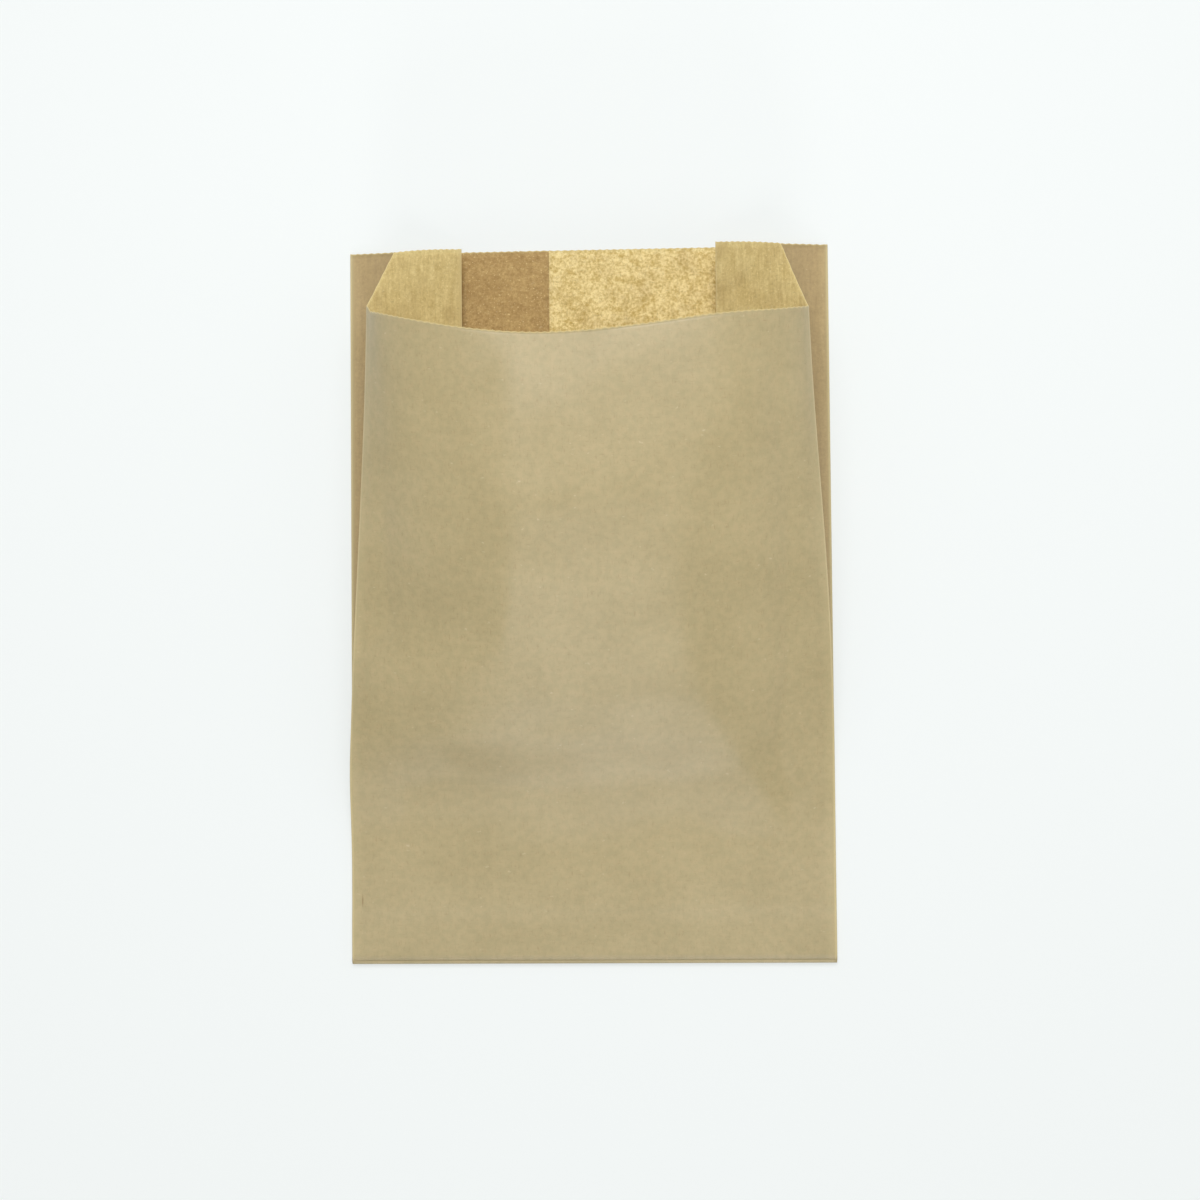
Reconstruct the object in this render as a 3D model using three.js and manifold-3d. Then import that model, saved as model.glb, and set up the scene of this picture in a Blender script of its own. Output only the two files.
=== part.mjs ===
// A plain kraft paper bread bag: a side-gusseted tube of paper with its bottom folded over and glued.
// It lies on its back with the mouth pulled half open, as it stays after it has been opened by hand.
// Millimetres. X runs across the bag, Y along it to the mouth, and Z up from the surface it lies on.
// The paper bends and never stretches, so each panel keeps its flat width at every distance from the
// bottom fold, and each line along the bag keeps its flat length.

import * as THREE from "three";
import { mergeVertices } from "three/addons/utils/BufferGeometryUtils.js";
import Module from "manifold-3d";

// The bag pressed flat
const bagWidth = 210; // over the two side folds
const bagLength = 310; // bottom fold to the back panel's cut edge
const gussetDepth = 50; // side fold to the crease of a gusset
const paperThickness = 0.3;
const foldRadius = 0.3; // of the middle of the paper round a fold

// The lengthwise glue seam in the back panel
const seamEdge = -17; // X of the lapped edge that shows inside
const seamOverlap = 13;
const seamRamp = 10; // width over which the upper sheet climbs on to the lower one
const seamCutLean = 0.1; // how far a cut edge of the seam leans

// The bottom, folded over to the back and glued
const flapLength = 16;
const flapThickness = 0.6; // the folded layers pressed together
const flapRamp = 9; // length over which the back comes down to the surface again
const bottomPlug = 3; // length of tube that the bottom fold closes

// The cut at the mouth, which leaves the front panel shorter than the back
const gussetFall = 2.5; // how far the cut has come down where its slant starts
const slantWidth = 14; // width of gusset over which it slants down to the front fold
const frontStep = 26.8; // the front panel's edge below the back one's, at either side
const frontDip = 6.3; // how much lower the front edge is cut at its lowest place
const dipPlace = -11.5; // of the lowest place, to the right of the front panel's middle
const dipReach = 89; // width over which the cut climbs again on either side

// How each side stands open: tilts in degrees at the mouth, the distance from the bottom fold where it
// starts to open, and how late it fills. Its front fold is cut a step below the back panel's edge, and
// over its tip's width the front panel's cut comes to that step.
const leftSide = {
  backTilt: 8,
  frontTilt: 44,
  openFrom: 32,
  lateness: 0.9,
  foldStep: 24.5,
  tipWidth: 5,
};
const rightSide = {
  backTilt: 16,
  frontTilt: 40,
  openFrom: 52,
  lateness: 1.6,
  foldStep: 28.8,
  tipWidth: 64,
};
const openingRamp = 75; // length over which a side starts to open
const bottomBow = 1.4; // how the front panel's bow gathers at its sides: 1 is an even arc
const mouthBow = 3.2;

// How finely the curved paper is divided
const foldSteps = 3;
const gussetSteps = 3;
const slantSteps = 2;
const frontSteps = 24;
const backSteps = 4;
const flatRows = [0, 8, 16, 20.5, 25]; // where the paper leaves the flap
const openRows = 17;
const squareShare = 0.75; // the rows below this share of the length run square across the bag
const bowSteps = 120; // of the sum that measures the front panel's arc
const bowTries = 40;

const wall = paperThickness / 2;
const pinRoom = foldRadius + wall; // from a fold's centre to its outer face
const panelSpan = bagWidth - 2 * pinRoom; // between the centres of two side folds
const restTilt = Math.asin((2 * foldRadius) / gussetDepth); // keeps the layers apart when flat
const flatTop = flapThickness + 6 * foldRadius + paperThickness; // of the four layers at the bottom
const quarter = Math.PI / 2;

const toRadians = (degrees) => (degrees * Math.PI) / 180;
const clamp = (value) => Math.min(1, Math.max(0, value));
const mix = (a, b, share) => a + (b - a) * share;

function smooth(value) {
  const share = clamp(value);
  return share * share * (3 - 2 * share);
}

// From 0, pressed flat, to 1, as open as at the mouth
function openness(side, distance) {
  const along = clamp((distance - side.openFrom) / (bagLength - side.openFrom));
  const filled = Math.sin(along * quarter) ** side.lateness;
  return filled * smooth((distance - side.openFrom) / openingRamp);
}

// The centres of a side's three folds, with X outwards, and the tilts of the paper between them
function sideFolds(side, distance) {
  const open = openness(side, distance);
  const backTilt = toRadians(side.backTilt) * open;
  const frontTilt = toRadians(side.frontTilt) * open;
  const lift = flapThickness * (1 - smooth((distance - flapLength) / flapRamp));
  const back = new THREE.Vector2(panelSpan / 2, lift + pinRoom);
  const crease = back.clone();
  crease.x -= gussetDepth * Math.cos(restTilt + backTilt);
  crease.y += gussetDepth * Math.sin(restTilt + backTilt);
  const front = crease.clone();
  front.x += gussetDepth * Math.cos(restTilt + frontTilt);
  front.y += gussetDepth * Math.sin(restTilt + frontTilt);
  return { back, crease, front, backTilt, frontTilt };
}

// The front panel's slope against its chord, from its right fold (0) to its left one (1)
function bowSlope(bow, power, share) {
  const place = 1 - 2 * share;
  return bow * Math.sign(place) * Math.abs(place) ** power;
}

// How far apart the panel's two folds come when it bows by an angle
function bowedSpan(bow, power) {
  let span = 0;
  for (let step = 0; step < bowSteps; step += 1) {
    span += Math.cos(bowSlope(bow, power, (step + 0.5) / bowSteps));
  }
  return (span / bowSteps) * panelSpan;
}

// The bow that brings the panel's folds as near to each other as the gussets do, by halving
function solveBow(chord, power) {
  let low = 0;
  let high = Math.PI;
  for (let attempt = 0; attempt < bowTries; attempt += 1) {
    const middle = (low + high) / 2;
    if (bowedSpan(middle, power) > chord) low = middle;
    else high = middle;
  }
  return (low + high) / 2;
}

// The centre line of the front panel: its points and slopes from the right fold to the left one
function frontPanel(left, right, distance) {
  const across = right.front.x + left.front.x;
  const rise = left.front.y - right.front.y;
  const chord = Math.hypot(across, rise);
  const tilt = Math.atan2(rise, across);
  const power = mix(bottomBow, mouthBow, distance / bagLength);
  const bow = chord < panelSpan ? solveBow(chord, power) : 0;
  const points = [right.front.clone()];
  const slopes = [tilt + bow];
  const length = panelSpan / bowSteps;
  for (let step = 1; step <= bowSteps; step += 1) {
    const slope = tilt + bowSlope(bow, power, (step - 0.5) / bowSteps);
    const point = points[step - 1].clone();
    point.x -= length * Math.cos(slope);
    point.y += length * Math.sin(slope);
    points.push(point);
    slopes.push(tilt + bowSlope(bow, power, step / bowSteps));
  }
  return { points, slopes };
}

const sections = new Map();

// The bag's folds and front panel at a distance from the bottom fold
function sectionAt(distance) {
  if (!sections.has(distance)) {
    const left = sideFolds(leftSide, distance);
    const right = sideFolds(rightSide, distance);
    const front = frontPanel(left, right, distance);
    right.shoulder = front.slopes[0];
    left.shoulder = -front.slopes[bowSteps];
    sections.set(distance, { left, right, front });
  }
  return sections.get(distance);
}

// The angles of the paper's outward normal where it meets and leaves each fold of a side
function foldTurn(folds, name) {
  const turns = {
    back: [-quarter, quarter - folds.backTilt],
    crease: [quarter - folds.backTilt, folds.frontTilt - quarter],
    front: [folds.frontTilt - quarter, quarter - folds.shoulder],
  };
  return turns[name];
}

// A point of the middle of the paper, with its outward normal, on a fold. The crease is folded inwards,
// so the paper passes on the other side of its centre.
function onFold(folds, name, share) {
  const [from, to] = foldTurn(folds, name);
  const angle = mix(from, to, share);
  const normal = new THREE.Vector2(Math.cos(angle), Math.sin(angle));
  const reach = name === "crease" ? -foldRadius : foldRadius;
  return { point: folds[name].clone().addScaledVector(normal, reach), normal };
}

// Each column is one line along the bag: where it is in a section, and where the mouth's cut ends it
function backColumn(x, outerLift, innerLift) {
  return {
    cut: bagLength,
    outerLift,
    innerLift,
    place: (section) => ({
      point: new THREE.Vector2(x, section.left.back.y - foldRadius),
      normal: new THREE.Vector2(0, -1),
    }),
  };
}

function backColumns() {
  const end = panelSpan / 2;
  const outerEdge = seamEdge - seamOverlap;
  const rampStart = outerEdge - seamRamp;
  const columns = [];
  for (let step = 1; step < backSteps; step += 1) {
    columns.push(backColumn(mix(-end, rampStart, step / backSteps), 0, 0));
  }
  columns.push(backColumn(rampStart, 0, 0));
  columns.push(backColumn(outerEdge, paperThickness, paperThickness));
  columns.push(backColumn(outerEdge + seamCutLean, 0, paperThickness));
  columns.push(backColumn(seamEdge - seamCutLean, 0, paperThickness));
  columns.push(backColumn(seamEdge, 0, 0));
  for (let step = 1; step < backSteps; step += 1) {
    columns.push(backColumn(mix(seamEdge, end, step / backSteps), 0, 0));
  }
  return columns;
}

// A column on one side of the bag. The left side is the mirror image of the right one.
function sideColumn(name, cut, find) {
  const mirror = name === "left" ? -1 : 1;
  return {
    cut,
    outerLift: 0,
    innerLift: 0,
    place: (section) => {
      const found = find(section[name]);
      found.point.x *= mirror;
      found.normal.x *= mirror;
      return found;
    },
  };
}

function foldColumns(name, fold, cut) {
  const columns = [];
  for (let step = 0; step <= foldSteps; step += 1) {
    columns.push(sideColumn(name, cut, (folds) => onFold(folds, fold, step / foldSteps)));
  }
  return columns;
}

// A column on the straight paper between two folds of a side
function gussetColumn(name, from, to, share, cut) {
  return sideColumn(name, cut, (folds) => {
    const start = onFold(folds, from, 1);
    const end = onFold(folds, to, 0);
    return { point: start.point.lerp(end.point, share), normal: end.normal };
  });
}

// The columns of one side, from the back fold round the gusset to the front fold
function sideColumns(name) {
  const { foldStep } = name === "left" ? leftSide : rightSide;
  const foldCut = bagLength - foldStep;
  const slantShare = slantWidth / gussetDepth;
  const columns = foldColumns(name, "back", bagLength);
  for (let step = 1; step < gussetSteps; step += 1) {
    columns.push(gussetColumn(name, "back", "crease", step / gussetSteps, bagLength));
  }
  columns.push(...foldColumns(name, "crease", bagLength));
  for (let step = 1; step <= gussetSteps; step += 1) {
    const share = (1 - slantShare) * (step / gussetSteps);
    const cut = bagLength - gussetFall * (step / gussetSteps);
    columns.push(gussetColumn(name, "crease", "front", share, cut));
  }
  for (let step = 1; step < slantSteps; step += 1) {
    const along = step / slantSteps;
    const share = mix(1 - slantShare, 1, along);
    const cut = mix(bagLength - gussetFall, foldCut, along);
    columns.push(gussetColumn(name, "crease", "front", share, cut));
  }
  columns.push(...foldColumns(name, "front", foldCut));
  return columns;
}

// Where the mouth's cut ends the front panel, at a distance to the right of its middle
function frontCut(across) {
  const away = Math.min(1, Math.abs(across - dipPlace) / dipReach);
  const step = frontStep + frontDip * Math.cos(away * quarter) ** 2;
  const { foldStep, tipWidth } = across > 0 ? rightSide : leftSide;
  const fromFold = panelSpan / 2 - Math.abs(across);
  return bagLength - mix(foldStep, step, smooth(fromFold / tipWidth));
}

// The columns of the front panel, from its right fold to its left one: evenly spaced, and one more
// beside each fold
function frontColumns() {
  const besideFold = Math.round((leftSide.tipWidth / panelSpan) * bowSteps);
  const places = [besideFold];
  for (let step = 1; step < frontSteps; step += 1) {
    places.push(Math.round((step / frontSteps) * bowSteps));
  }
  places.push(bowSteps - besideFold);
  return places.map((index) => ({
    cut: frontCut((0.5 - index / bowSteps) * panelSpan),
    outerLift: 0,
    innerLift: 0,
    place: ({ front }) => {
      const angle = quarter - front.slopes[index];
      const normal = new THREE.Vector2(Math.cos(angle), Math.sin(angle));
      return { point: front.points[index].clone().addScaledVector(normal, foldRadius), normal };
    },
  }));
}

// The distance from the bottom fold of each row, which bends to the cut near the mouth
function rowDistances(cut) {
  const start = flatRows[flatRows.length - 1];
  const square = bagLength * squareShare;
  const distances = [...flatRows];
  for (let row = 1; row <= openRows; row += 1) {
    const plain = mix(start, bagLength, row / openRows);
    const above = clamp((plain - square) / (bagLength - square));
    distances.push(plain - (bagLength - cut) * above);
  }
  return distances;
}

// One column's outer and inner points, from the bottom fold to the cut. Y advances by what is left of
// the paper's length after its move up and across.
function columnPoints(column) {
  const outer = [];
  const inner = [];
  let along = 0;
  let last = null;
  for (const distance of rowDistances(column.cut)) {
    const { point, normal } = column.place(sectionAt(distance));
    if (last) {
      const step = distance - last.distance;
      const moved = point.distanceTo(last.point);
      along += Math.sqrt(Math.max(0, step * step - moved * moved));
    }
    last = { distance, point };
    const outside = point.clone().addScaledVector(normal, wall);
    const inside = point.clone().addScaledVector(normal, -wall);
    outer.push(new THREE.Vector3(outside.x, along, outside.y + column.outerLift));
    inner.push(new THREE.Vector3(inside.x, along, inside.y + column.innerLift));
  }
  return { outer, inner };
}

// The paper tube, open at both ends: an outer and an inner skin with a rim at each end
function tubeGeometry() {
  const columns = [
    ...backColumns(),
    ...sideColumns("right"),
    ...frontColumns(),
    ...sideColumns("left").reverse(),
  ].map(columnPoints);
  const rows = columns[0].outer.length;
  const positions = [];
  for (const { outer, inner } of columns) {
    for (const point of [...outer, ...inner]) {
      positions.push(point.x, point.y, point.z);
    }
  }
  const outerAt = (column, row) => (column % columns.length) * 2 * rows + row;
  const innerAt = (column, row) => outerAt(column, row) + rows;
  const triangles = [];
  const addQuad = (a, b, c, d) => triangles.push(a, b, c, a, c, d);
  columns.forEach((_, column) => {
    const next = column + 1;
    for (let row = 0; row < rows - 1; row += 1) {
      const up = row + 1;
      addQuad(outerAt(column, row), outerAt(column, up), outerAt(next, up), outerAt(next, row));
      addQuad(innerAt(column, row), innerAt(next, row), innerAt(next, up), innerAt(column, up));
    }
    const top = rows - 1;
    addQuad(outerAt(column, top), innerAt(column, top), innerAt(next, top), outerAt(next, top));
    addQuad(outerAt(column, 0), outerAt(next, 0), innerAt(next, 0), innerAt(column, 0));
  });
  const geometry = new THREE.BufferGeometry();
  geometry.setAttribute("position", new THREE.Float32BufferAttribute(positions, 3));
  geometry.setIndex(triangles);
  return geometry;
}

// The bottom fold with the flap glued under the back: one profile across the whole width. Inside the
// tube it ends in the middle of the paper, so that it joins both panels.
function bottomGeometry() {
  const nose = flatTop / 2;
  const glued = flapThickness + wall;
  const profile = new THREE.Shape();
  profile.moveTo(flapLength, 0);
  profile.lineTo(flapLength, glued);
  profile.lineTo(bottomPlug, glued);
  profile.lineTo(bottomPlug, flatTop - wall);
  profile.lineTo(0, flatTop);
  profile.absarc(0, nose, nose, quarter, 3 * quarter, false);
  const width = bagWidth - paperThickness;
  const geometry = new THREE.ExtrudeGeometry(profile, {
    depth: width,
    bevelEnabled: false,
    curveSegments: 6,
  });
  const axes = new THREE.Matrix4().makeBasis(
    new THREE.Vector3(0, 1, 0),
    new THREE.Vector3(0, 0, 1),
    new THREE.Vector3(1, 0, 0),
  );
  geometry.applyMatrix4(axes);
  geometry.translate(-width / 2, 0, 0);
  return geometry;
}

const wasm = await Module();
wasm.setup();

function toSolid(geometry) {
  geometry.deleteAttribute("normal");
  geometry.deleteAttribute("uv");
  const merged = mergeVertices(geometry);
  return new wasm.Manifold(
    new wasm.Mesh({
      numProp: 3,
      vertProperties: new Float32Array(merged.attributes.position.array),
      triVerts: new Uint32Array(merged.index.array),
    }),
  );
}

function toGeometry(solid) {
  const mesh = solid.getMesh();
  const geometry = new THREE.BufferGeometry();
  geometry.setAttribute("position", new THREE.BufferAttribute(mesh.vertProperties, mesh.numProp));
  geometry.setIndex(new THREE.BufferAttribute(mesh.triVerts, 1));
  geometry.computeVertexNormals();
  return geometry;
}

const kraftPaper = new THREE.MeshStandardMaterial({
  color: "#bfae83",
  roughness: 0.92,
  metalness: 0,
});

const bag = toSolid(tubeGeometry()).add(toSolid(bottomGeometry()));
const paperBag = new THREE.Mesh(toGeometry(bag), kraftPaper);
paperBag.name = "paper_bag";

// The middle of the bag's length and width is the origin
const group = new THREE.Group();
group.position.y = (flatTop / 2 - bagLength) / 2;
group.add(paperBag);

export default group;
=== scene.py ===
# A plain kraft paper bread bag, lying on its back with its mouth half open, on a pale studio floor.
import math

import bpy
import numpy as np
from mathutils import Matrix, Vector
from mathutils.geometry import delaunay_2d_cdt


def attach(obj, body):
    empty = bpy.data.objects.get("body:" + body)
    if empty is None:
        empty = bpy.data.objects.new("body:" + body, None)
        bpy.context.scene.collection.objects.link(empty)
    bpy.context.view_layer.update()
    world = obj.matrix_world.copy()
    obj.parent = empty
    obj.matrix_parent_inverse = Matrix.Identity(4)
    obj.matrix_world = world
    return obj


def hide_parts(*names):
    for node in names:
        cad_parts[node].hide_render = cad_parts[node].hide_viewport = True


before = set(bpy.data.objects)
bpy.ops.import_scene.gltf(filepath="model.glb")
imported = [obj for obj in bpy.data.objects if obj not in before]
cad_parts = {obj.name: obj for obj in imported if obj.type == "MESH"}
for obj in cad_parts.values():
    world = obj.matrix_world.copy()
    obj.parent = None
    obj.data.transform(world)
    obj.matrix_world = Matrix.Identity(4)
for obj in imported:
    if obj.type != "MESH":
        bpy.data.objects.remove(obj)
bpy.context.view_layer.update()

mm = 0.001

# The bag as it is cut and folded, in millimetres, and how its two sides stand open
bag = {
    "width": 210.0,  # over the side folds, pressed flat
    "length": 310.0,  # bottom fold to the back panel's edge
    "gusset": 50.0,  # side fold to crease
    "paper": 0.26,  # drawn thicker than the real 0.07 so that a cut edge shows
    "foldRadius": 0.3,
    "seamEdge": -17.0,
    "seamOverlap": 13.0,
    "seamRamp": 10.0,
    "flapLength": 16.0,
    "flapThickness": 0.6,
    "flapRamp": 9.0,
    "gussetFall": 2.5,
    "slantWidth": 14.0,
    "frontStep": 26.8,
    "frontDip": 6.3,
    "dipPlace": -11.5,
    "dipReach": 89.0,
    "openingRamp": 75.0,
    "bottomBow": 1.4,
    "mouthBow": 3.2,
    "left": {
        "backTilt": 8,
        "frontTilt": 44,
        "openFrom": 32,
        "lateness": 0.9,
        "foldStep": 24.5,
        "tipWidth": 5,
    },
    "right": {
        "backTilt": 16,
        "frontTilt": 40,
        "openFrom": 52,
        "lateness": 1.6,
        "foldStep": 28.8,
        "tipWidth": 64,
    },
    "toothPitch": 3.1,  # of the knife that cuts the mouth
    "toothDepth": 0.3,
    "foldPaper": 1.0,  # length of paper round a fold
    "solidPaper": 0.3,  # the CAD solid's paper, which sets how far its bottom fold reaches
    "bendFrom": 0.75,  # share of the length from which the rows of points lean over to the cut
    "tableStep": 0.5,  # between the sections that are solved
    "rows": 104,
    "foldColumns": 6,
}


def smooth(value):
    # 0 below 0, 1 above 1, and an S curve between them
    share = np.clip(value, 0, 1)
    return share * share * (3 - 2 * share)


def mix(a, b, share):
    # The straight blend from a to b
    return a + (b - a) * share


def openness(side, distance):
    # A quarter sine from where the side starts to open, raised to its lateness and eased in
    along = np.clip((distance - side["openFrom"]) / (bag["length"] - side["openFrom"]), 0, 1)
    ease = smooth((distance - side["openFrom"]) / bag["openingRamp"])
    return np.sin(along * math.pi / 2) ** side["lateness"] * ease


def sideFolds(side, distance):
    # The centres of the back fold, crease and front fold: two steps of one gusset's depth, each
    # turned up by its tilt. X is outwards.
    opened = openness(side, distance)
    backTilt = np.radians(side["backTilt"]) * opened
    frontTilt = np.radians(side["frontTilt"]) * opened
    rest = math.asin(2 * bag["foldRadius"] / bag["gusset"])
    room = bag["foldRadius"] + bag["paper"] / 2
    lift = bag["flapThickness"] * (1 - smooth((distance - bag["flapLength"]) / bag["flapRamp"]))
    back = (np.full_like(distance, bag["width"] / 2 - room), lift + room)
    crease = (
        back[0] - bag["gusset"] * np.cos(rest + backTilt),
        back[1] + bag["gusset"] * np.sin(rest + backTilt),
    )
    front = (
        crease[0] + bag["gusset"] * np.cos(rest + frontTilt),
        crease[1] + bag["gusset"] * np.sin(rest + frontTilt),
    )
    return {
        "back": back,
        "crease": crease,
        "front": front,
        "backTilt": backTilt,
        "frontTilt": frontTilt,
    }


def solveBow(chord, span, power):
    # The angle whose arc, with slope angle * place ** power, has this chord: by halving, for all
    # chords at once
    samples, halvings = 200, 40
    place = (np.arange(samples) + 0.5) / samples
    low, high = np.zeros_like(chord), np.full_like(chord, math.pi)
    for _ in range(halvings):
        middle = (low + high) / 2
        reached = np.cos(middle[:, None] * place[None, :] ** power[:, None]).mean(1) * span
        low, high = np.where(reached > chord, middle, low), np.where(reached > chord, high, middle)
    return (low + high) / 2


def frontTable(shares):
    # The front panel's centre line at every step along the bag: an arc whose slope falls from its
    # right fold to its left one as the place across it to a power, summed to points.
    distance = np.arange(0, bag["length"] + bag["tableStep"], bag["tableStep"])
    left, right = sideFolds(bag["left"], distance), sideFolds(bag["right"], distance)
    across = right["front"][0] + left["front"][0]
    rise = left["front"][1] - right["front"][1]
    chord, tilt = np.hypot(across, rise), np.arctan2(rise, across)
    span = bag["width"] - 2 * bag["foldRadius"] - bag["paper"]
    power = mix(bag["bottomBow"], bag["mouthBow"], distance / bag["length"])
    bow = np.where(chord < span, solveBow(np.minimum(chord, span), span, power), 0)
    samples = 1000
    place = 1 - 2 * np.linspace(0, 1, samples + 1)
    slope = tilt[:, None] + bow[:, None] * np.sign(place) * np.abs(place) ** power[:, None]
    step = span / samples
    middle = (slope[:, 1:] + slope[:, :-1]) / 2
    x = right["front"][0][:, None] - np.cumsum(np.cos(middle), axis=1) * step
    z = right["front"][1][:, None] + np.cumsum(np.sin(middle), axis=1) * step
    x = np.concatenate([right["front"][0][:, None], x], axis=1)
    z = np.concatenate([right["front"][1][:, None], z], axis=1)
    index = np.round(np.asarray(shares) * samples).astype(int)
    return {"x": x[:, index], "z": z[:, index], "slope": slope[:, index]}


def columnsOf(count):
    # Even shares of a panel, without its two ends
    return np.linspace(0, 1, count + 1)[1:-1]


def snapTo(shares, edges):
    # Moves the two columns nearest to each lapped edge close to its two sides, so that it is crisp
    moved, near = shares.copy(), 0.0003
    for edge in edges:
        share = 0.5 + edge / (bag["width"] - 2 * bag["foldRadius"] - bag["paper"])
        first = int(np.searchsorted(moved, share)) - 1
        moved[first], moved[first + 1] = share - near, share + near
    return moved


def layOut():
    # Every column of the ring in order, counter-clockwise seen from the bottom: which panel it is
    # on, its share of that panel, the length at which the mouth's cut ends it, and its place on the
    # paper.
    step = bag["toothPitch"] / 2
    wide, deep = int(round(bag["width"] / step)), int(round(bag["gusset"] / step))
    folds = bag["foldColumns"]
    panels, shares, cuts, places = [], [], [], []
    full = bag["length"]
    slant = 1 - bag["slantWidth"] / bag["gusset"]
    start = 0.0

    def add(name, share, cut, width):
        nonlocal start
        panels.extend([name] * len(share))
        shares.append(share)
        cuts.append(cut)
        places.append(start + share * width)
        start += width

    def gussetCut(share, side):
        # Falls a little from the crease, then slants down to the front fold
        fall = bag["gussetFall"] * np.minimum(share / slant, 1)
        slanted = mix(bag["gussetFall"], side["foldStep"], (share - slant) / (1 - slant))
        return full - np.where(share < slant, fall, slanted)

    def frontCut(share):
        # A squared cosine dip about its lowest place, blended to each fold's own step
        across = (0.5 - share) * bag["width"]
        away = np.minimum(np.abs(across - bag["dipPlace"]) / bag["dipReach"], 1)
        step = bag["frontStep"] + bag["frontDip"] * np.cos(away * math.pi / 2) ** 2
        pick = lambda key: np.where(across > 0, bag["right"][key], bag["left"][key])
        fromFold = bag["width"] / 2 - np.abs(across)
        return full - mix(pick("foldStep"), step, smooth(fromFold / pick("tipWidth")))

    turn = np.linspace(0, 1, folds)
    bend = bag["foldPaper"]
    inner = columnsOf(wide)
    backInner = snapTo(inner, [bag["seamEdge"], bag["seamEdge"] - bag["seamOverlap"]])
    half = columnsOf(deep)
    ones = np.ones_like
    add("back", backInner, full * ones(inner), bag["width"])
    add("rightBack", turn, full * ones(turn), bend)
    add("rightInward", half, full * ones(half), bag["gusset"])
    add("rightCrease", turn, full * ones(turn), bend)
    add("rightOutward", half, gussetCut(half, bag["right"]), bag["gusset"])
    add("rightFront", turn, (full - bag["right"]["foldStep"]) * ones(turn), bend)
    add("front", inner, frontCut(inner), bag["width"])
    add("leftFront", turn[::-1], (full - bag["left"]["foldStep"]) * ones(turn), bend)
    add("leftOutward", half[::-1], gussetCut(half[::-1], bag["left"]), bag["gusset"])
    add("leftCrease", turn[::-1], full * ones(turn), bend)
    add("leftInward", half[::-1], full * ones(half), bag["gusset"])
    add("leftBack", turn[::-1], full * ones(turn), bend)
    return np.array(panels), np.concatenate(shares), np.concatenate(cuts), np.concatenate(places)


def paperGrid():
    # The middle of the paper as a grid of rows along the bag and columns round it
    panels, shares, cuts, places = layOut()
    rows = np.linspace(0, 1, bag["rows"]) * bag["length"]
    bend = np.clip((rows / bag["length"] - bag["bendFrom"]) / (1 - bag["bendFrom"]), 0, 1)
    distance = rows[:, None] - (bag["length"] - cuts)[None, :] * bend[:, None]
    x, z = np.zeros_like(distance), np.zeros_like(distance)
    radius, room = bag["foldRadius"], bag["foldRadius"] + bag["paper"] / 2

    on = panels == "back"
    end = bag["width"] / 2 - room
    x[:, on] = mix(-end, end, shares[on])[None, :]
    z[:, on] = sideFolds(bag["left"], distance[:, on])["back"][1] - radius

    on = panels == "front"
    table = frontTable(np.concatenate([[0.0], shares[on], [1.0]]))
    last = len(table["x"]) - 2
    low = np.clip((distance[:, on] / bag["tableStep"]).astype(int), 0, last)
    share = distance[:, on] / bag["tableStep"] - low
    column = np.arange(on.sum())[None, :] + 1
    at = lambda key, col: mix(table[key][low, col], table[key][low + 1, col], share)
    slope = at("slope", column)
    x[:, on] = at("x", column) + radius * np.sin(slope)
    z[:, on] = at("z", column) + radius * np.cos(slope)

    def shoulder(name, where):
        # The front panel's slope where it meets a side fold
        rowLow = np.clip((distance[:, where] / bag["tableStep"]).astype(int), 0, last)
        rowShare = distance[:, where] / bag["tableStep"] - rowLow
        edge = 0 if name == "right" else -1
        sign = 1 if name == "right" else -1
        return sign * mix(table["slope"][rowLow, edge], table["slope"][rowLow + 1, edge], rowShare)

    quarter = math.pi / 2
    for name, mirror in (("right", 1), ("left", -1)):
        side = bag[name]

        def arc(fold, where, share):
            # A point on a fold: its centre, moved by its radius along the paper's outward normal
            folds = sideFolds(side, distance[:, where])
            lean = shoulder(name, where)
            ends = {
                "back": (-quarter + 0 * lean, quarter - folds["backTilt"]),
                "crease": (quarter - folds["backTilt"], folds["frontTilt"] - quarter),
                "front": (folds["frontTilt"] - quarter, quarter - lean),
            }[fold]
            angle = mix(ends[0], ends[1], share)
            reach = -radius if fold == "crease" else radius
            return folds[fold][0] + reach * np.cos(angle), folds[fold][1] + reach * np.sin(angle)

        for fold in ("back", "crease", "front"):
            on = panels == name + fold.capitalize()
            px, pz = arc(fold, on, shares[on][None, :])
            x[:, on], z[:, on] = mirror * px, pz
        for panel, begin, finish in (("Inward", "back", "crease"), ("Outward", "crease", "front")):
            on = panels == name + panel
            ax, az = arc(begin, on, 1.0)
            bx, bz = arc(finish, on, 0.0)
            x[:, on], z[:, on] = mirror * mix(ax, bx, shares[on]), mix(az, bz, shares[on])

    # What is left of the paper's length after its move up and across carries it along the bag
    step = np.diff(distance, axis=0)
    moved = np.diff(x, axis=0) ** 2 + np.diff(z, axis=0) ** 2
    along = np.cumsum(np.sqrt(np.maximum(step**2 - moved, 0)), axis=0)
    y = np.concatenate([np.zeros((1, len(panels))), along])
    return {
        "points": np.stack([x, y, z], -1),
        "distance": distance,
        "panels": panels,
        "shares": shares,
        "cuts": cuts,
        "places": places,
    }


def gridNormals(points):
    # The cross product of the steps along the bag and round it, which faces outwards
    around = np.roll(points, -1, axis=1) - np.roll(points, 1, axis=1)
    along = np.gradient(points, axis=0)
    normal = np.cross(along, around)
    return normal / np.maximum(np.linalg.norm(normal, axis=-1, keepdims=True), 1e-9)


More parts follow.
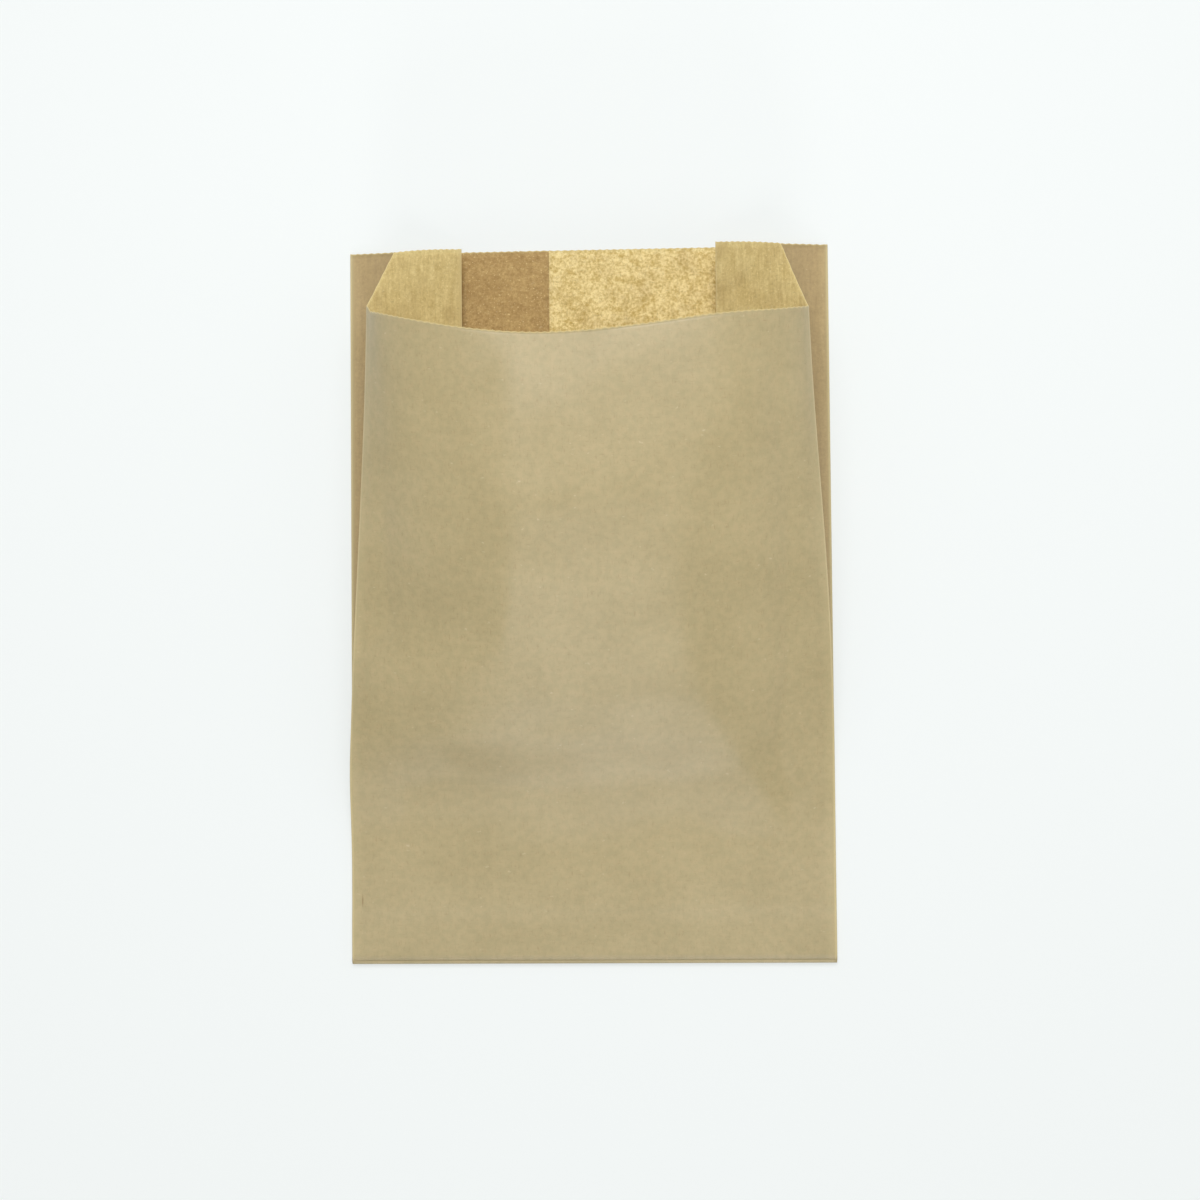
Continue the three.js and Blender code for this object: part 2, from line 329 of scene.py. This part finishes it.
# What handling and packing have left in the paper, in millimetres. The waves fade out where the bag
# is pressed flat, and no facet sinks into the gusset under it.
handling = {
    "softAcross": 5,  # times that the facets are averaged with their neighbours
    "softAlong": 2,
    "roomShare": 0.5,  # of the room above a gusset that a facet may take
    "looseFrom": 30,  # from the bottom fold, where the waves start
    "looseRamp": 60,
    "waves": {"seed": 7, "count": 14, "longest": 90, "shortest": 25},
    "frontWaves": (0.6, 0.2),  # their height, and the share of the panel's half width they fade in
    "gussetWaves": (0.9, 0.3),
    "flapWaves": {"seed": 3, "count": 8, "longest": 60, "shortest": 12},
    "flapHeight": 0.5,
}

# The facets' corners: across the front panel from its middle, along it from the bottom fold, and
# how high each stands from the even bow
facetPlaces = [
    (-105, 0, 0), (0, 0, 0), (105, 0, 0), (-105, 40, 0), (0, 34, 0.5), (105, 40, 0), (-105, 90, 0),
    (-105, 134, 0), (-105, 200, 0), (-105, 312, 0), (105, 90, 0), (105, 150, 0), (105, 220, 0),
    (105, 312, 0), (-32, 312, -3.2), (-32, 272, -2), (-31, 240, 1.4), (-31, 205, 4.4),
    (-33, 172, 4.4), (-38, 146, 3.4), (0, 250, 1), (0, 210, 3.5), (-2, 172, 2.6), (6, 140, 2.9),
    (34, 312, -2.5), (34, 262, -1.7), (34, 210, 0.3), (38, 160, 1.5), (44, 125, 3.6), (64, 92, 3.6),
    (86, 58, 1.2), (82, 262, -3.2), (88, 200, -4.1), (88, 150, -3.2), (90, 90, -3),
    (-92, 200, -3.3), (-92, 152, -4.1), (-66, 152, -1.7), (-94, 131, 1), (-64, 130, 1.4),
    (-30, 124, 1.8), (-97, 66, -1.2), (-60, 88, -1.9), (-14, 112, 1.1), (12, 98, 1.3), (6, 66, 1.5),
    (-50, 52, 0.9), (48, 60, 0.8), (30, 44, 1.2), (78, 40, -1.3),
]


def facetRelief(across, distance):
    # Flat triangles between the listed places, as creased paper has, softened by repeated averaging
    corners = np.array(facetPlaces, dtype=float)
    found = delaunay_2d_cdt([Vector(corner[:2]) for corner in corners], [], [], 0, 1e-6)
    places = np.array([tuple(vertex) for vertex in found[0]])
    heights = np.array([corners[origin[0], 2] for origin in found[3]])
    field = np.zeros_like(distance)
    for a, b, c in found[2]:
        (ax, ay), (bx, by), (cx, cy) = places[a], places[b], places[c]
        area = (bx - ax) * (cy - ay) - (cx - ax) * (by - ay)
        second = ((across - ax) * (cy - ay) - (cx - ax) * (distance - ay)) / area
        third = ((bx - ax) * (distance - ay) - (across - ax) * (by - ay)) / area
        within = (second >= 0) & (third >= 0) & (second + third <= 1)
        height = heights[a] + second * (heights[b] - heights[a]) + third * (heights[c] - heights[a])
        field = np.where(within, height, field)
    for axis, passes in ((1, handling["softAcross"]), (0, handling["softAlong"])):
        count = field.shape[axis]
        before = np.maximum(np.arange(count) - 1, 0)
        after = np.minimum(np.arange(count) + 1, count - 1)
        for _ in range(passes):
            field = (field.take(before, axis) + 2 * field + field.take(after, axis)) / 4
    return field


def softWaves(places, distance, seed, count, longest, shortest):
    # A sum of sine waves with seeded directions, lengths and phases
    random = np.random.default_rng(seed)
    total = np.zeros(np.broadcast(places, distance).shape)
    for _ in range(count):
        length = random.uniform(shortest, longest)
        turn = random.uniform(0, math.pi)
        phase = random.uniform(0, 2 * math.pi)
        wave = (places * math.cos(turn) + distance * math.sin(turn)) / length * 2 * math.pi
        total += np.sin(wave + phase) * length / longest
    return total / count


def bagShell():
    # The tube: the even shape moved along its normals by facets and waves, then given a thickness
    grid = paperGrid()
    points, distance, panels = grid["points"], grid["distance"], grid["panels"]
    places = grid["places"][None, :]
    normals = gridNormals(points)
    front, gusset = panels == "front", np.array(["ward" in name for name in panels])
    edge = 1 - np.abs(1 - 2 * grid["shares"])[None, :]  # 0 at a panel's folds, 1 in its middle
    loose = smooth((distance - handling["looseFrom"]) / handling["looseRamp"])
    waves = softWaves(places, distance, **handling["waves"])
    relief = np.zeros_like(distance)
    across = ((0.5 - grid["shares"][front]) * bag["width"])[None, :] + 0 * distance[:, front]
    tilts = [sideFolds(bag[name], distance[:, front])["frontTilt"] for name in ("left", "right")]
    fromFold = bag["width"] / 2 - np.abs(across)
    room = fromFold * np.sin(np.where(across < 0, *tilts))  # above the gusset under the panel
    lowest = -handling["roomShare"] * room
    relief[:, front] = np.maximum(facetRelief(across, distance[:, front]), lowest)
    kinds = ((front, handling["frontWaves"]), (gusset, handling["gussetWaves"]))
    for where, (height, ease) in kinds:
        relief += where * smooth(edge / ease) * loose * waves * height
    points = points + normals * relief[..., None]

    # The knife's teeth at the mouth: the last row moves in and out by turns
    teeth = np.where(np.arange(len(panels)) % 2 == 0, 0.0, -bag["toothDepth"])
    straight = np.array([not name.endswith(("Back", "Crease", "Front")) for name in panels])
    points[-1, :, 1] += teeth * straight

    # The lengthwise seam: the upper sheet climbs on to the lower one and ends on it
    outerEdge = bag["seamEdge"] - bag["seamOverlap"]
    back = panels == "back"
    x = points[..., 0]
    climb = np.clip((x - outerEdge + bag["seamRamp"]) / bag["seamRamp"], 0, 1) * bag["paper"]
    normals = gridNormals(points)
    half = bag["paper"] / 2
    outer, inner = points + normals * half, points - normals * half
    outer[..., 2] += back * climb * (x < outerEdge)
    inner[..., 2] += back * climb * (x < bag["seamEdge"])
    return shellSurface(outer, inner, grid)


# The outside of the sheet, its inside and the flap read the patterns this far apart
patternStep = 40.0


def shellSurface(outer, inner, grid):
    # Two skins of quads and a rim at each end make one closed wall
    rows, columns = outer.shape[:2]
    row, column = np.meshgrid(np.arange(rows - 1), np.arange(columns), indexing="ij")
    corner, side = row * columns + column, row * columns + (column + 1) % columns
    skin = np.stack([corner, corner + columns, side + columns, side], -1).reshape(-1, 4)
    size = rows * columns
    first = np.arange(columns)
    firstAfter = (first + 1) % columns
    last, lastAfter = first + size - columns, firstAfter + size - columns
    mouth = np.stack([last, last + size, lastAfter + size, lastAfter], -1)
    bottom = np.stack([first, firstAfter, firstAfter + size, first + size], -1)

    panels = grid["panels"]
    folds = np.array([name.endswith(("Back", "Crease", "Front")) for name in panels])
    toFold = np.abs(grid["places"][:, None] - grid["places"][folds][None, :]).min(1)
    toCut = grid["cuts"][None, :] - grid["distance"]
    # Painted light and shade: inside, the back is painted as lit through its one layer, a gusset
    # less, and the lap with all of the back left of the seam's edge least. Outside, the same mask
    # marks the inward half of each gusset, for painted shade from the panel over it.
    back = (panels == "back")[None, :]
    paintedShade = np.where(back, (outer[..., 0] < bag["seamEdge"]) * 1.0, 0.5)
    shadedInward = np.array([name.endswith("Inward") for name in panels])[None, :] + 0 * toCut
    spread = lambda values: np.broadcast_to(values, (rows, columns)).ravel()
    flat = np.zeros(size)
    paper = np.stack([spread(grid["places"][None, :]), grid["distance"].ravel(), flat], -1)
    return {
        "vertices": np.concatenate([outer.reshape(-1, 3), inner.reshape(-1, 3)]),
        "faces": np.concatenate([skin, skin[:, ::-1] + size, mouth, bottom]).tolist(),
        "paper": np.concatenate([paper, paper + [0, 0, patternStep]]),
        "inside": np.repeat([0.0, 1.0], size),
        "paintedShade": np.concatenate([shadedInward.ravel(), spread(paintedShade)]),
        "toCut": np.tile(toCut.ravel(), 2),
        "toFold": np.tile(spread(toFold[None, :]), 2),
    }


def bottomFlap():
    # The folded bottom: a half-round nose and the glued flap under the back, one profile carried
    # across the width with a little waviness in its free edge
    top = bag["flapThickness"] + 6 * bag["foldRadius"] + bag["paper"]
    nose, noseEnd, under = top / 2, 3, 0.12  # it fills the tube's end, just under the front
    noseSteps, columns, sunkShare = 14, 150, 0.4  # the flap is sunk so far into the back's paper
    turn = np.linspace(math.pi / 2, 3 * math.pi / 2, noseSteps)
    glued = bag["flapThickness"] + bag["paper"] * sunkShare
    reach = bag["flapLength"]
    profile = np.concatenate(
        [
            [[reach, 0], [reach, glued], [noseEnd, glued], [noseEnd, top - under]],
            np.stack([nose * np.cos(turn), nose + nose * np.sin(turn)], -1),
        ]
    )
    across = np.linspace(-1, 1, columns)
    count = len(profile)
    points = np.zeros((columns, count, 3))
    points[..., 0] = (across * (bag["width"] - bag["paper"]) / 2)[:, None]
    points[..., 1:] = profile[None]
    waves = softWaves(across * bag["width"] / 2, 0 * across, **handling["flapWaves"])
    points[:, :2, 1] += (waves * handling["flapHeight"])[:, None]
    vertices = points.reshape(-1, 3)
    row, column = np.meshgrid(np.arange(columns - 1), np.arange(count), indexing="ij")
    corner, side = row * count + column, row * count + (column + 1) % count
    quads = np.stack([corner, side, side + count, corner + count], -1).reshape(-1, 4).tolist()
    ends = [list(range(count))[::-1], [(columns - 1) * count + place for place in range(count)]]
    flat, farAway = np.zeros(len(vertices)), 50.0  # no edge or fold is drawn on the flap
    return {
        "vertices": vertices,
        "faces": quads + ends,
        "paper": np.stack([vertices[:, 0], -vertices[:, 1], flat + 2 * patternStep], -1),
        "inside": flat,
        "paintedShade": flat,
        "toCut": flat + farAway,
        "toFold": flat + farAway,
    }


def makeBag():
    # The tube and its folded bottom as one mesh, with the paper's own places and measures on it
    shell, flap = bagShell(), bottomFlap()
    offset = len(shell["vertices"])
    joined = {key: np.concatenate([shell[key], flap[key]]) for key in shell if key != "faces"}
    faces = shell["faces"] + [[corner + offset for corner in face] for face in flap["faces"]]
    vertices = joined.pop("vertices")
    nose = (bag["flapThickness"] + 6 * bag["foldRadius"] + bag["solidPaper"]) / 2
    vertices[:, 1] += (nose - bag["length"]) / 2
    mesh = bpy.data.meshes.new("breadBag")
    mesh.from_pydata((vertices * mm).tolist(), [], faces)
    attribute = mesh.attributes.new("paper", "FLOAT_VECTOR", "POINT")
    attribute.data.foreach_set("vector", (joined.pop("paper") * mm).ravel())
    for key, values in joined.items():
        attribute = mesh.attributes.new(key, "FLOAT", "POINT")
        attribute.data.foreach_set("value", values.astype(np.float32))
    mesh.polygons.foreach_set("use_smooth", np.ones(len(faces), dtype=bool))
    mesh.update()
    piece = bpy.data.objects.new("breadBag", mesh)
    bpy.context.scene.collection.objects.link(piece)
    return piece


def linear(hexColour):
    # An sRGB hex colour as linear RGBA
    values = [int(hexColour[i : i + 2], 16) / 255 for i in (1, 3, 5)]
    return [v / 12.92 if v <= 0.04045 else ((v + 0.055) / 1.055) ** 2.4 for v in values] + [1.0]


def addNode(tree, kind, settings=None, **links):
    # A node with its attributes and socket values set, and its inputs linked by name or number
    node = tree.nodes.new(kind)
    for key, value in (settings or {}).items():
        if hasattr(node, key):
            setattr(node, key, value)
        else:
            node.inputs[key].default_value = value
    for key, source in links.items():
        tree.links.new(source, node.inputs[int(key) if key.isdigit() else key.replace("_", " ")])
    return node


def ramp(tree, source, stops):
    # A colour ramp with these stops of place and hex colour
    node = addNode(tree, "ShaderNodeValToRGB", None, Fac=source)
    elements = node.color_ramp.elements
    while len(elements) < len(stops):
        elements.new(0.5)
    for element, (place, colour) in zip(elements, stops):
        element.position = place
        element.color = linear(colour)
    return node.outputs["Color"]


def blend(tree, share, first, second):
    # The two colours or patterns mixed by a share, each a value or another node's output
    node = tree.nodes.new("ShaderNodeMix")
    node.data_type = "RGBA"
    sockets = (node.inputs[0], node.inputs[6], node.inputs[7])
    for socket, value in zip(sockets, (share, first, second)):
        if isinstance(value, bpy.types.NodeSocket):
            tree.links.new(value, socket)
        else:
            socket.default_value = value
    return node.outputs[2]


# Unbleached kraft paper, one side glazed on the drying cylinder: outside it is an even greyish tan
# with faint ribs along the web, short fibres and a dull sheen, and inside it is rough, yellow and
# grainy. Painted light and shade lie in the colours: the inside is lifted as if lit through the
# sheet, it carries painted shade where the sheet is doubled and left of the seam, and so do the
# gussets' inward halves outside, under the panel over them
kraft = {
    "outside": "#b5a67d",
    "outsideDark": "#a79970",
    "outsideWarm": "#b8a47a",
    # The outside of the gussets' inward halves: painted shade from the panel over them
    "gussetOutsideShade": "#b89c6a",
    "gussetOutsideShadeDark": "#957b4e",
    # The inside's yellow, lifted with painted light as if lit through one sheet; the gussets' less
    "inside": "#fbe6a8",
    "insideDark": "#c8aa60",
    "gusset": "#e8d496",
    "gussetDark": "#c0a566",
    "spark": "#fff0b8",
    # The lap and the back left of the seam's edge: painted shade, as less light comes through there
    "lappedShade": "#ccad74",
    "lappedShadeDark": "#987745",
    "fibrePale": "#e6dab8",
    "fibreAndShadeDark": "#8d7448",
    "cutEdge": "#e6d296",
    # Pale along the folds: partly the crushed crease's real paling, partly a painted highlight
    "foldWearAndHighlight": "#dfcd9a",
    # The patterns' sizes in millimetres. The finest are drawn coarser than real fibres of 0.03 mm.
    "cloudSize": 30,
    "formationSize": 3.4,  # flocks of pulp
    "grainSize": 1.2,  # of the rough side, with the clusters
    "clusterSize": 3.2,
    "streakSize": 1.6,  # along the gussets
    "sparkSize": 0.8,
    "fibreSize": 0.8,
    "threadSize": 0.75,
    "fleckSize": 1.9,
    "stainSize": 13,
    "ribPitch": 1.3,
    "bumpHeight": 0.2,
    "bumpStrength": 0.45,
    "insideBump": 0.631,  # share of the grain in the inside's bump
    "sheen": 0.38,  # roughness of the glazed side
    "rough": 0.9,  # of the inside
    # A short dark mark by the left fold, painted shade of a dented spot that the shape lacks: its
    # middle on the sheet, its reach, and how dark it is
    "dentShade": {"place": (518.7, 26, 0), "reach": (0.5, 3.4, 10), "share": 0.75},
}


def kraftPaper():
    # The looks above as nodes, read from places on the flat sheet so that no pattern stretches
    material = bpy.data.materials.new("glazedKraftPaper")
    material.use_nodes = True
    tree = material.node_tree
    tree.nodes.clear()

    def attribute(name, output="Fac"):
        return addNode(tree, "ShaderNodeAttribute", {"attribute_name": name}).outputs[output]

    def noise(scaleMm, stretch=(1, 1, 1), detail=3.0, rough=0.55):
        # Cloudy noise whose spots are about so many millimetres wide, stretched where asked
        mapped = addNode(tree, "ShaderNodeMapping", {"Scale": stretch}, Vector=place)
        mapped = mapped.outputs["Vector"]
        settings = {"Scale": 1000 / scaleMm, "Detail": detail, "Roughness": rough}
        return addNode(tree, "ShaderNodeTexNoise", settings, Vector=mapped).outputs["Fac"]

    def shades(source, low, high, name):
        # From a colour's dark to the colour itself as the source goes from low to high
        return ramp(tree, source, [(low, kraft[name + "Dark"]), (high, kraft[name])])

    def fade(source, start, end, low=0.0, high=1.0):
        # From low to high as the source goes from start to end, held beyond them
        settings = {"From Min": start, "From Max": end, "To Min": low, "To Max": high}
        return addNode(tree, "ShaderNodeMapRange", settings, Value=source).outputs["Result"]

    place, inside, paintedShade = attribute("paper", "Vector"), attribute("inside"), attribute("paintedShade")
    toCut, toFold = attribute("toCut"), attribute("toFold")
    clouds = noise(kraft["cloudSize"])
    formation = noise(kraft["formationSize"], detail=4.0, rough=0.65)
    clusters = noise(kraft["clusterSize"], detail=2.5)
    grains = blend(tree, 0.36, noise(kraft["grainSize"], detail=2.5, rough=0.75), clusters)
    streaks = blend(tree, 0.35, grains, noise(kraft["streakSize"], (1.0, 0.12, 1.0), 2.0, 0.6))
    sparks = noise(kraft["sparkSize"], detail=1.0)
    fibres = noise(kraft["fibreSize"], (1.0, 0.25, 1.0), 3.0, 0.7)
    threads = noise(kraft["threadSize"], (0.22, 1.0, 1.0), 3.0, 0.7)  # they lie across the web
    flecks = noise(kraft["fleckSize"], (0.6, 1.0, 1.0), 2.0, 0.5)
    stains = noise(kraft["stainSize"])

    def marked(colour, marks):
        # Each mark laid on the colour: its pattern or distance, where it starts and where it is
        # full, its share there, and its own colour
        for source, first, full, share, name in marks:
            colour = blend(tree, fade(source, first, full, 0, share), colour, linear(kraft[name]))
        return colour

    warm = ramp(tree, formation, [(0.38, kraft["outsideDark"]), (0.62, kraft["outsideWarm"])])
    outside = blend(tree, 0.5, shades(clouds, 0.35, 0.65, "outside"), warm)
    # Painted shade on the outside of the gussets' inward halves, from the panel over them
    shaded = shades(streaks, 0.32, 0.66, "gussetOutsideShade")
    outside = blend(tree, fade(paintedShade, 0, 1, 0, 0.75), outside, shaded)
    # Inside: the back's bright yellow is partly the paper's own and partly painted light, as if lit
    # through one sheet; the gussets' inside is painted less lit
    bright = shades(grains, 0.37, 0.6, "inside")
    within = blend(tree, fade(paintedShade, 0, 0.5), bright, shades(streaks, 0.3, 0.66, "gusset"))
    # Painted shade over the lap and all of the back left of the seam's edge
    within = blend(tree, fade(paintedShade, 0.5, 1), within, shades(grains, 0.26, 0.68, "lappedShade"))
    # The stains borrow the lap's painted-shade dark only as a random darker tone of the inside
    marks = ((sparks, 0.66, 0.74, 0.55, "spark"), (stains, 0.52, 0.3, 0.25, "lappedShadeDark"))
    colour = blend(tree, inside, outside, marked(within, marks))
    marks = (
        (flecks, 0.69, 0.8, 0.3, "fibrePale"),
        (fibres, 0.44, 0.26, 0.35, "fibreAndShadeDark"),
        (threads, 0.42, 0.26, 0.3, "fibreAndShadeDark"),
        # A broad painted highlight beside each fold, and a narrow one on it with the crease's real
        # paling
        (toFold, 5.0, 0.5, 0.14, "foldWearAndHighlight"),
        (toFold, 0.8, 0.2, 0.4, "foldWearAndHighlight"),
        (toCut, 0.7, 0.1, 0.8, "cutEdge"),
    )
    colour = marked(colour, marks)

    # The dented spot's painted shade is an ellipse about its place on the sheet
    dentShade = kraft["dentShade"]
    settings = {
        "Scale": tuple(1 / (size * mm) for size in dentShade["reach"]),
        "Location": tuple(-middle / size for middle, size in zip(dentShade["place"], dentShade["reach"])),
    }
    scaled = addNode(tree, "ShaderNodeMapping", settings, Vector=place).outputs["Vector"]
    rounded = addNode(tree, "ShaderNodeTexGradient", {"gradient_type": "SPHERICAL"}, Vector=scaled)
    dark = fade(rounded.outputs["Fac"], 0, 0.7, 0, dentShade["share"])
    colour = blend(tree, dark, colour, linear(kraft["fibreAndShadeDark"]))

    ribScale = 1000 / kraft["ribPitch"] / 20  # a wave texture's scale of 1 gives 20 bands a unit
    settings = {"Scale": ribScale, "Distortion": 0.6, "Detail": 1.0, "Detail Scale": 2.0}
    ribs = addNode(tree, "ShaderNodeTexWave", settings, Vector=place).outputs["Fac"]
    height = blend(tree, 0.3, formation, ribs)
    height = blend(tree, 0.4, height, fibres)
    height = blend(tree, 0.35, height, threads)
    height = blend(tree, fade(inside, 0, 1, 0, kraft["insideBump"]), height, grains)
    settings = {"Strength": kraft["bumpStrength"], "Distance": kraft["bumpHeight"] * mm}
    bump = addNode(tree, "ShaderNodeBump", settings, Height=height)
    rough = fade(inside, 0, 1, kraft["sheen"], kraft["rough"])
    shader = addNode(
        tree,
        "ShaderNodeBsdfPrincipled",
        {"IOR": 1.5},
        Base_Color=colour,
        Roughness=rough,
        Normal=bump.outputs["Normal"],
    )
    addNode(tree, "ShaderNodeOutputMaterial", None, Surface=shader.outputs["BSDF"])
    return material


breadBag = makeBag()
breadBag.data.materials.append(kraftPaper())
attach(breadBag, "root")
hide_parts("paper_bag")
print("bag made:", len(breadBag.data.polygons) * 2, "triangles")

# The studio, in metres
studio = {
    "backdrop": "#f4f8f7",
    "shadowShare": 0.4,  # how much of its shadows the backdrop keeps
    "shadowReach": 1.2,  # from the origin, where that share has faded out
    "worldStrength": 0.3,
    # Each lamp's strength, its spread, and how it leans from the vertical towards -Y and +X, in
    # degrees
    "lamps": {
        "overheadKey": (0.52, 50, (-14, 4)),
        "mouthLamp": (0.36, 14, (-35, 2)),
        "sheenLamp": (0.38, 18, (38, 2)),
        "lowLamp": (0.47, 14, (68, 2)),
        "leftLamp": (0.14, 60, (-20, -70)),
        "rightLamp": (0.28, 60, (-10, 68)),
    },
    "softbox": {"watts": 2.5, "size": 0.5, "place": (0.03, 0.35, 0.75)},
    "cameraDistance": 1.09,
    "field": 0.523,  # width of table in view at that distance
    "tilt": (2.95, 3.55, -0.69),  # degrees about X, Y and the line of sight
    "target": (0.0041, 0.0016, 0.0),
}


def seenRays(tree):
    # 1 for the rays that show a surface to the camera, straight, mirrored or through glass
    path = addNode(tree, "ShaderNodeLightPath")
    total = path.outputs["Is Camera Ray"]
    for name in ("Is Glossy Ray", "Is Transmission Ray"):
        sources = {"0": total, "1": path.outputs[name]}
        larger = addNode(tree, "ShaderNodeMath", {"operation": "MAXIMUM"}, **sources)
        total = larger.outputs["Value"]
    return total


def backdropPaper():
    # Matte paper, lifted towards its own colour where it is seen so that its shadows stay faint.
    # Far from the bag it is wholly its own colour, as the world behind it is.
    material = bpy.data.materials.new("matteBackdropPaper")
    material.use_nodes = True
    tree = material.node_tree
    tree.nodes.clear()
    colour = linear(studio["backdrop"])
    matte = addNode(tree, "ShaderNodeBsdfDiffuse", {"Color": colour})
    glow = addNode(tree, "ShaderNodeEmission", {"Color": colour, "Strength": 1.0})
    where = addNode(tree, "ShaderNodeTexCoord").outputs["Object"]
    scale = (1 / studio["shadowReach"],) * 3
    where = addNode(tree, "ShaderNodeMapping", {"Scale": scale}, Vector=where).outputs["Vector"]
    near = addNode(tree, "ShaderNodeTexGradient", {"gradient_type": "SPHERICAL"}, Vector=where)
    settings = {"From Max": 0.5, "To Min": 1.0, "To Max": 1 - studio["shadowShare"]}
    faded = addNode(tree, "ShaderNodeMapRange", settings, Value=near.outputs["Fac"])
    sources = {"0": faded.outputs["Result"], "1": seenRays(tree)}
    share = addNode(tree, "ShaderNodeMath", {"operation": "MULTIPLY"}, **sources).outputs["Value"]
    mixed = tree.nodes.new("ShaderNodeMixShader")
    sources = (share, matte.outputs["BSDF"], glow.outputs["Emission"])
    for socket, source in zip(mixed.inputs, sources):
        tree.links.new(source, socket)
    addNode(tree, "ShaderNodeOutputMaterial", None, Surface=mixed.outputs["Shader"])
    return material


def makeFloor():
    # A wide square of backdrop paper, a little under the bag so that none of their faces coincide
    mesh = bpy.data.meshes.new("studioFloor")
    reach, depth = 3.0, -0.0004
    signs = ((-1, -1), (1, -1), (1, 1), (-1, 1))
    mesh.from_pydata([(x * reach, y * reach, depth) for x, y in signs], [], [(0, 1, 2, 3)])
    floor = bpy.data.objects.new("studioFloor", mesh)
    bpy.context.scene.collection.objects.link(floor)
    floor.data.materials.append(backdropPaper())


def makeWorld():
    # White light all round, seen as the backdrop's colour
    world = bpy.data.worlds.new("studioWorld")
    world.use_nodes = True
    tree = world.node_tree
    tree.nodes.clear()
    shades = (
        {"Color": (1, 1, 1, 1), "Strength": studio["worldStrength"]},
        {"Color": linear(studio["backdrop"]), "Strength": 1.0},
    )
    light, seen = (addNode(tree, "ShaderNodeBackground", shade).outputs[0] for shade in shades)
    mixed = tree.nodes.new("ShaderNodeMixShader")
    for socket, source in zip(mixed.inputs, (seenRays(tree), light, seen)):
        tree.links.new(source, socket)
    addNode(tree, "ShaderNodeOutputWorld", None, Surface=mixed.outputs["Shader"])
    bpy.context.scene.world = world


def makeLamp(name, strength, spread, towards):
    # A far, even lamp whose size in the sky is its spread
    lamp = bpy.data.lights.new(name, "SUN")
    lamp.energy = strength
    lamp.angle = math.radians(spread)
    lampObject = bpy.data.objects.new(name, lamp)
    tiltX, tiltY = (math.radians(v) for v in towards)
    lampObject.matrix_world = Matrix.Rotation(tiltY, 4, "Y") @ Matrix.Rotation(tiltX, 4, "X")
    bpy.context.scene.collection.objects.link(lampObject)


def makeSoftbox():
    # A square soft lamp over the mouth, turned to face the middle of the bag
    lamp = bpy.data.lights.new("softbox", "AREA")
    lamp.energy, lamp.size = studio["softbox"]["watts"], studio["softbox"]["size"]
    lampObject = bpy.data.objects.new("softbox", lamp)
    place = Vector(studio["softbox"]["place"])
    lampObject.location = place
    lampObject.rotation_euler = place.to_track_quat("Z", "Y").to_euler()
    bpy.context.scene.collection.objects.link(lampObject)


def makeCamera():
    # It looks down on the bag from its distance, turned about the target
    camera = bpy.data.cameras.new("studioCamera")
    camera.sensor_width = 36
    camera.lens = camera.sensor_width * studio["cameraDistance"] / studio["field"]
    turnX, turnY, roll = (
        Matrix.Rotation(math.radians(angle), 4, axis) for angle, axis in zip(studio["tilt"], "XYZ")
    )
    turned = turnX @ turnY @ roll
    cameraObject = bpy.data.objects.new("studioCamera", camera)
    away = Matrix.Translation((0, 0, studio["cameraDistance"]))
    cameraObject.matrix_world = Matrix.Translation(studio["target"]) @ turned @ away
    bpy.context.scene.collection.objects.link(cameraObject)
    bpy.context.scene.camera = cameraObject


makeFloor()
for lampName, lampValues in studio["lamps"].items():
    makeLamp(lampName, *lampValues)
makeSoftbox()
makeCamera()
makeWorld()
bpy.context.scene.view_settings.view_transform = "Standard"
print("studio made")
